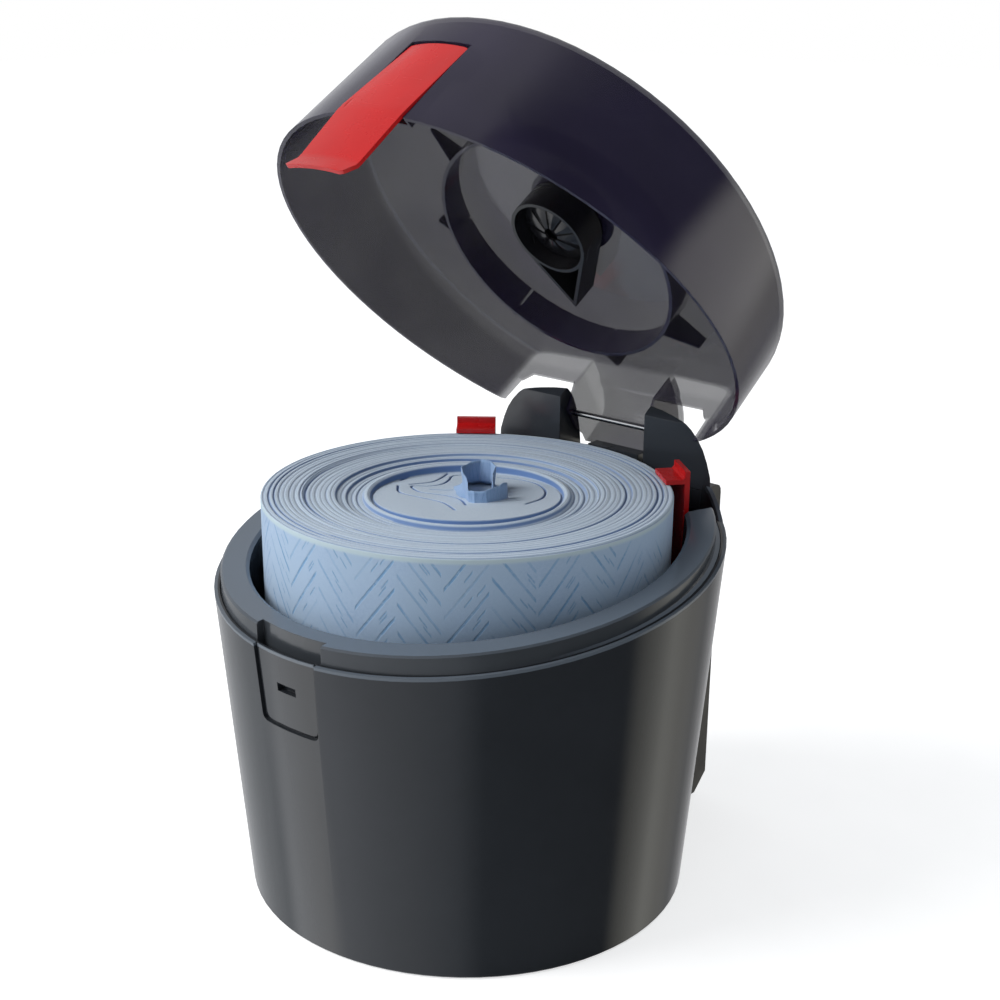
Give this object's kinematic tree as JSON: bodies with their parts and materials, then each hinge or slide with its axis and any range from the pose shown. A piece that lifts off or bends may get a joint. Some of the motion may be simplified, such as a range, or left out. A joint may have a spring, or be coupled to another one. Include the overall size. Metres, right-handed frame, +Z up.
{
  "type": "centrefeed roll dispenser",
  "caption": "Round tapered dispenser for a centrefeed roll of wipes, with a hinged translucent lid, feed nozzle, latch lever, roll clips and wall bracket.",
  "frame": {"origin": "centre of the bucket's flat bottom", "axes": "+Z up, -Y towards the front with the latch, +Y towards the wall; the lid's hinge axis lies along X at the rear"},
  "size_m": [0.2502, 0.266, 0.4212],
  "materials": {
    "shell": "gloss moulded dark blue-grey",
    "liner": "gloss moulded dark blue-grey",
    "support": "plain moulded grey",
    "steel": "bright drawn wire and rod",
    "black_plastic": "black moulded",
    "bracket": "black moulded",
    "wipes": "light blue embossed wipes with blue dashes",
    "smoke_lid": "smoke-tinted translucent moulding",
    "red_plastic": "satin red moulding"
  },
  "bodies": {
    "bucket": {"bucket_shell": "shell", "liner_ring": "liner", "roll_rest": "support", "hinge_block": "shell", "hinge_screw_1": "steel", "hinge_screw_2": "steel", "hinge_screw_3": "steel", "hinge_screw_4": "steel", "hinge_rod": "steel", "rod_cap_left": "black_plastic", "rod_cap_right": "black_plastic", "wipe_roll": "wipes", "roll_tail": "wipes", "clip_carrier_left": "support", "clip_carrier_right": "support", "clip_pin_left": "steel", "clip_pin_right": "steel", "clip_spring_left": "steel", "clip_spring_right": "steel", "wall_bracket": "bracket"},
    "lid": {"lid_shell": "smoke_lid", "nozzle_body": "black_plastic", "nozzle_collar": "black_plastic", "nozzle_crown": "black_plastic", "latch_pin": "steel", "latch_spring": "steel"},
    "latch": {"latch_lever": "red_plastic"},
    "clip_left": {"roll_clip_left": "red_plastic"},
    "clip_right": {"roll_clip_right": "red_plastic"}
  },
  "joints": [
    {"name": "lid_hinge", "type": "hinge", "parent": "bucket", "child": "lid", "pos_m": [0, 0.11646, 0.2142], "axis": [1, 0, 0], "range_deg": [0, 57.44]},
    {"name": "latch_pivot", "type": "hinge", "parent": "lid", "child": "latch", "pos_m": [0, -0.0216, 0.40403], "axis": [-1, 0, 0], "range_deg": [0, 12], "stiffness_Nm_per_rad": 0.12, "springref_deg": -8.59},
    {"name": "clip_left_pivot", "type": "hinge", "parent": "bucket", "child": "clip_left", "pos_m": [-0.07096, 0.08639, 0.12], "axis": [-0.7727, -0.6347, 0], "range_deg": [0, 5], "stiffness_Nm_per_rad": 0.8, "springref_deg": -5.73},
    {"name": "clip_right_pivot", "type": "hinge", "parent": "bucket", "child": "clip_right", "pos_m": [0.07096, 0.08639, 0.12], "axis": [-0.7727, 0.6347, 0], "range_deg": [0, 5], "stiffness_Nm_per_rad": 0.8, "springref_deg": -5.73}
  ]
}
